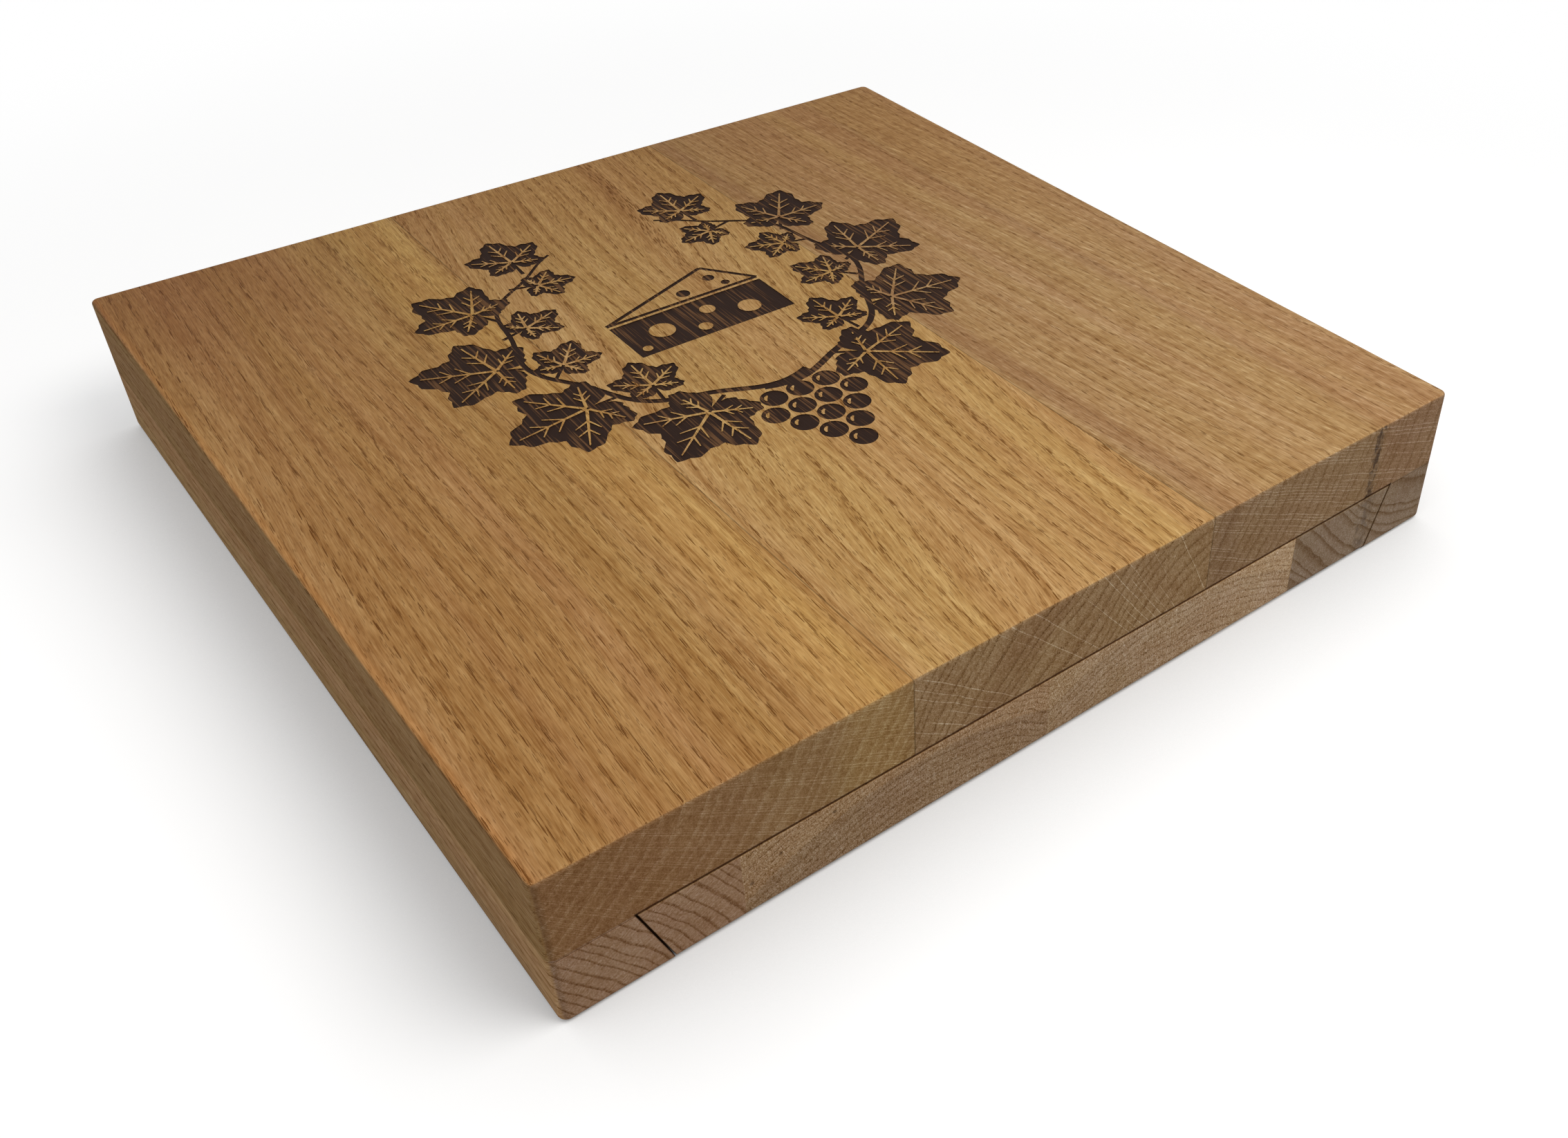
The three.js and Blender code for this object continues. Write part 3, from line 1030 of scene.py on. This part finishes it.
def soft_cheese_knife_outline(n, w, l):
    outline = drawn(
        (n, blade_root),
        [(n, 0)],
        [(n, 0.1 * l), (w, 0.06 * l), (w, 0.2 * l)],
        [(w, 0.6 * l)],
        [(w, 0.8 * l), (0.7 * w, 0.92 * l), (0.1 * w, l)],
        [(0.05 * w, 0.92 * l), (-0.35 * w, 0.9 * l)],
        [(-0.6 * w, 0.92 * l), (-0.75 * w, 0.97 * l)],
        [(-w, 0.9 * l), (-w, 0.8 * l)],
        [(-w, 0.14 * l)],
        [(-w, 0.06 * l), (-n, 0.08 * l), (-n, 0)],
        [(-n, blade_root)],
    )
    holes = []
    for share in (0.28, 0.45, 0.62):
        holes.append([(0.3 * w * x, share * l + 0.055 * l * y) for x, y in circle(0, 0, 1, 32)])
    return outline, holes


def grind_flat(form, axis, start, finish):
    """Thins a blade evenly from a line across it to its edge."""
    along = 1 if finish > start else -1
    normal = [0, 0, 0]
    normal[axis] = along
    place = [0, 0, 0]
    place[axis] = start
    everything = form.verts[:] + form.edges[:] + form.faces[:]
    bmesh.ops.bisect_plane(form, geom=everything, plane_co=place, plane_no=normal)
    for vertex in form.verts:
        share = min(max((vertex.co[axis] - start) / (finish - start), 0), 1)
        vertex.co.z *= 1 - (1 - grind) * share


def grind_round(form, width, start):
    """Thins a blade towards its whole outline, past a line across it."""
    for up in (1, -1):
        faces = [face for face in form.faces if face.normal.z * up > 0.9]
        bmesh.ops.inset_region(
            form, faces=faces, thickness=width, use_even_offset=True, use_boundary=True
        )
    for vertex in form.verts:
        if any(abs(face.normal.z) < 0.1 for face in vertex.link_faces):
            share = min(max((vertex.co.y - start) / width, 0), 1)
            vertex.co.z *= 1 - (1 - grind) * share


def forged(outline, holes, thickness):
    """A blade's plan outline, pierced and raised to its thickness, as a bmesh still to be ground."""
    form = bmesh.new()
    rims = []
    for ring in [outline, *holes]:
        corners = [form.verts.new((x, y, -thickness / 2)) for x, y in ring]
        rims += [form.edges.new(pair) for pair in zip(corners, corners[1:] + corners[:1])]
    bmesh.ops.triangle_fill(form, use_beauty=True, edges=rims)
    raised = bmesh.ops.extrude_face_region(form, geom=form.faces[:], use_keep_orig=True)["geom"]
    corners = [item for item in raised if isinstance(item, bmesh.types.BMVert)]
    bmesh.ops.translate(form, verts=corners, vec=(0, 0, thickness))
    bmesh.ops.recalc_face_normals(form, faces=form.faces)
    form.normal_update()
    return form


def turned_piece(name, profile, length, half_width, half_height, material):
    """A turned piece along Y from its origin, flattened to an oval. The profile is in shares."""
    sides = 48
    points = []
    for share, along in profile:
        for i in range(sides):
            turn = 2 * math.pi * i / sides
            x = share * half_width * math.cos(turn)
            z = share * half_height * math.sin(turn)
            points.append((x, along * length, z))
    faces = [list(range(sides)), [len(points) - 1 - i for i in range(sides)]]
    for row in range(len(profile) - 1):
        for i in range(sides):
            low = row * sides
            j = (i + 1) % sides
            faces.append([low + i, low + sides + i, low + sides + j, low + j])
    return built(name, points, faces, material)


def brushed_steel():
    """Steel with a fine satin grain across it, and a few light scratches."""
    paint = Paint("brushed_steel")
    x, y, z = paint.place()
    grain = paint.noise(x / 22, y / 0.16, z / 0.6, detail=3.0)
    cloud = paint.noise(x / 18, y / 18, z / 6, detail=2.0)
    scratch = paint.noise(x / 0.25, (y + x * 0.4) / 14, z, detail=0.0).ramp(0.74, 0.80)
    colour = paint.mix(grain, (0.50, 0.50, 0.51, 1), (0.72, 0.72, 0.73, 1))
    roughness = grain * 0.22 + cloud * 0.10 + scratch * 0.15 + 0.14
    return paint.finish(colour, roughness, grain + scratch * 0.5, 0.012, metallic=1.0)


def plated_nickel():
    """Bright nickel with small scratches from the magnet it meets."""
    paint = Paint("plated_nickel")
    x, y, z = paint.place()
    scratch = paint.noise(x / 0.3, y / 5, z, detail=2.0).ramp(0.55, 0.7)
    cloud = paint.noise(x / 3, y / 3, z / 3, detail=2.0)
    colour = paint.mix(cloud, (0.46, 0.44, 0.40, 1), (0.60, 0.58, 0.54, 1))
    return paint.finish(colour, scratch * 0.25 + cloud * 0.1 + 0.12, scratch, 0.01, metallic=1.0)


steel = brushed_steel()
nickel = plated_nickel()


# Rows of a handle and a ferrule: share of the half width, and share of the length
handle_profile = [
    (0.30, 0.0),
    (0.55, 0.008),
    (0.74, 0.03),
    (0.91, 0.09),
    (0.99, 0.19),
    (1.0, 0.29),
    (0.96, 0.46),
    (0.87, 0.66),
    (0.79, 0.84),
    (0.76, 0.97),
    (0.76, 1.0),
]
ferrule_profile = [
    (0.74, 0.0),
    (0.79, 0.03),
    (0.79, 0.15),
    (0.75, 0.18),
    (0.75, 0.22),
    (0.79, 0.25),
    (0.77, 0.38),
    (0.73, 0.41),
    (0.73, 0.45),
    (0.755, 0.48),
    (0.70, 0.75),
    (0.64, 0.95),
    (0.60, 1.0),
]


def ground_blade(name, outline, edge, nose):
    """A blade from its outline and its edge, about the ferrule's nose."""
    low = lowest(name + "_blade")
    high = highest(name + "_blade")
    w = (high.x - low.x) / 2
    l = high.y - nose
    form = forged(*outline(neck_half, w, l), high.z - low.z)
    edge(form, w, l)
    mesh = bpy.data.meshes.new(name)
    bmesh.ops.scale(form, verts=form.verts, vec=(MM, MM, MM))
    form.to_mesh(mesh)
    form.free()
    mesh.materials.append(steel)
    blade = linked(name + "_ground_blade", mesh)
    soft = blade.modifiers.new("soft_edges", "BEVEL")
    soft.width = 0.12 * MM
    soft.angle_limit = math.radians(35)
    return blade


def tool(name, outline, edge):
    """One cheese tool: a finer handle, ferrule and blade on the CAD's axis."""
    low = lowest(name + "_handle")
    high = highest(name + "_handle")
    half_width = (high.x - low.x) / 2
    half_height = (high.z - low.z) / 2
    axis = ((low.x + high.x) / 2, (low.z + high.z) / 2)
    nose = highest(name + "_ferrule").y

    handle = turned_piece(
        name + "_turned_handle", handle_profile, high.y - low.y, half_width, half_height, walnut
    )
    smooth = handle.modifiers.new("smooth", "SUBSURF")
    smooth.levels = 1
    smooth.render_levels = 1
    ferrule = turned_piece(
        name + "_turned_ferrule", ferrule_profile, nose - high.y, half_width, half_height, steel
    )
    blade = ground_blade(name, outline, edge, nose)
    parts = [
        (handle, low.y, "handle", "handle_wood"),
        (ferrule, high.y, "ferrule", "blade_steel"),
        (blade, nose, "blade", "blade_steel"),
    ]
    for piece, y, part, slot in parts:
        piece.data.transform(Matrix.Translation(Vector((axis[0], y, axis[1])) * MM))
        smoothed(piece, 32)
        stands_for(piece, name + "_" + part, "tray")


def magnet(node, body):
    """A plated disc with a small chamfer, upright in the place of the CAD's."""
    low = lowest(node)
    high = highest(node)
    radius = (high.x - low.x) / 2
    chamfer = 0.3 / radius
    profile = [(1 - chamfer, 0), (1, 0.1), (1, 0.9), (1 - chamfer, 1)]
    disc = turned_piece(node + "_plated", profile, high.z - low.z, radius, radius, nickel)
    turn = Matrix.Rotation(math.radians(90), 4, "X")
    middle = Vector(((low.x + high.x) / 2, (low.y + high.y) / 2, low.z)) * MM
    disc.data.transform(Matrix.Translation(middle) @ turn)
    stands_for(smoothed(disc, 32), node, body)


def photo_camera():
    """A pinhole fitted to the board's edges in the photograph; the shift is the crop of its frame."""
    data = bpy.data.cameras.new("camera")
    data.sensor_width = 36
    data.lens = 35.049
    data.shift_x = -0.1481
    data.shift_y = -0.0155
    data.clip_start = 0.01
    camera = linked("camera", data)
    camera.location = (-0.20909, -0.35855, 0.29199)
    camera.rotation_euler = Euler([math.radians(a) for a in (51.828, -1.734, -40.400)])
    bpy.context.scene.camera = camera


def softbox(name, place, target, size, power, colour=(1, 1, 1)):
    """A round lamp that faces a target."""
    data = bpy.data.lights.new(name, "AREA")
    data.shape = "DISK"
    data.size = size
    data.energy = power
    data.color = colour
    lamp = linked(name, data)
    lamp.location = place
    lamp.rotation_euler = (Vector(target) - Vector(place)).to_track_quat("-Z", "Y").to_euler()


def seen_directly(tree):
    """1 where the camera, a reflection or clear glass looks at the surface, else 0."""
    path = tree.nodes.new("ShaderNodeLightPath")
    seen = Field(tree, path.outputs["Is Camera Ray"])
    for way in ("Is Glossy Ray", "Is Transmission Ray"):
        seen = seen.math("MAXIMUM", Field(tree, path.outputs[way]))
    return seen


def lamps_and_world():
    """Soft light at a plain level, on a background that is white where it is looked at."""
    scene = bpy.context.scene
    scene.view_settings.view_transform = "Standard"
    world = bpy.data.worlds.new("studio")
    scene.world = world
    world.use_nodes = True
    tree = world.node_tree
    background = tree.nodes["Background"]
    background.inputs["Color"].default_value = (1, 1, 1, 1)
    dim_grey = 0.13
    feed(tree, background.inputs["Strength"], seen_directly(tree).between(dim_grey, 1))

    key_colour = (1.0, 0.985, 0.96)
    softbox("key", (0.12, -0.35, 0.62), (0, -0.02, 0), size=0.42, power=3.8, colour=key_colour)
    softbox("fill", (0.55, -0.85, 0.45), (0, 0, 0.02), size=0.5, power=0.35)
    softbox("side", (-0.80, 0.0, 0.35), (0, 0, 0.02), size=0.5, power=0.6)
    softbox("back", (-0.40, 0.95, 0.28), (0, 0, 0.02), size=0.5, power=0.8)


def floor():
    """A pale floor that shows as white away from the board, and keeps the shadow near it; near the board,
    ambient occlusion also dims its glow as a painted shadow.
    """
    paint = Paint("pale_floor")
    x, y, _ = paint.place()
    far = ((x * x + y * y).math("SQRT")).ramp(210, 520)
    grain = paint.noise(x / 3, y / 3, 0, detail=2.0)
    pale = paint.mix(grain * 0.1, (0.8, 0.8, 0.8, 1), (0.72, 0.72, 0.72, 1))
    paint.finish(pale, 0.8, specular=0.1)
    nodes = paint.tree.nodes
    shown = nodes.new("ShaderNodeBsdfDiffuse")
    feed(paint.tree, shown.inputs["Color"], paint.mix(far, (0.42, 0.42, 0.42, 1), (0, 0, 0, 1)))
    # Ambient occlusion dims the glow under and beside the board: a painted contact shadow.
    nearby = nodes.new("ShaderNodeAmbientOcclusion")
    nearby.inputs["Distance"].default_value = 60 * MM
    nearby.samples = 8
    occlusion_shade = Field(paint.tree, nearby.outputs["AO"])
    glow = nodes.new("ShaderNodeEmission")
    feed(paint.tree, glow.inputs["Strength"], far.between(0.75, 1) * occlusion_shade)
    both = nodes.new("ShaderNodeAddShader")
    paint.tree.links.new(shown.outputs[0], both.inputs[0])
    paint.tree.links.new(glow.outputs[0], both.inputs[1])
    choice = nodes.new("ShaderNodeMixShader")
    feed(paint.tree, choice.inputs[0], seen_directly(paint.tree))
    paint.tree.links.new(paint.shader.outputs[0], choice.inputs[1])
    paint.tree.links.new(both.outputs[0], choice.inputs[2])
    paint.tree.links.new(choice.outputs[0], nodes["Material Output"].inputs[0])
    reach = 4000
    corners = [(-reach, -reach, 0), (reach, -reach, 0), (reach, reach, 0), (-reach, reach, 0)]
    built("floor", corners, [[0, 1, 2, 3]], paint.material)


photo_camera()
lamps_and_world()
floor()
top_panel()
lower_layer()

# Blades are ground across the end, across the prongs, round the point, and along one side.
tool("flat_knife", flat_knife_outline, lambda form, w, l: grind_flat(form, 1, l - 9, l))
tool("cheese_fork", cheese_fork_outline, lambda form, w, l: grind_flat(form, 1, l - 14, l + 8))
tool("hard_cheese_knife", hard_cheese_knife_outline, lambda form, w, l: grind_round(form, 1.5, 0.14 * l))
tool("soft_cheese_knife", soft_cheese_knife_outline, lambda form, w, l: grind_flat(form, 0, -w + 3.4, -w))

for side in ("left", "right"):
    magnet("panel_magnet_" + side, "board")
for side in ("left", "right"):
    magnet("tray_magnet_" + side, "tray")
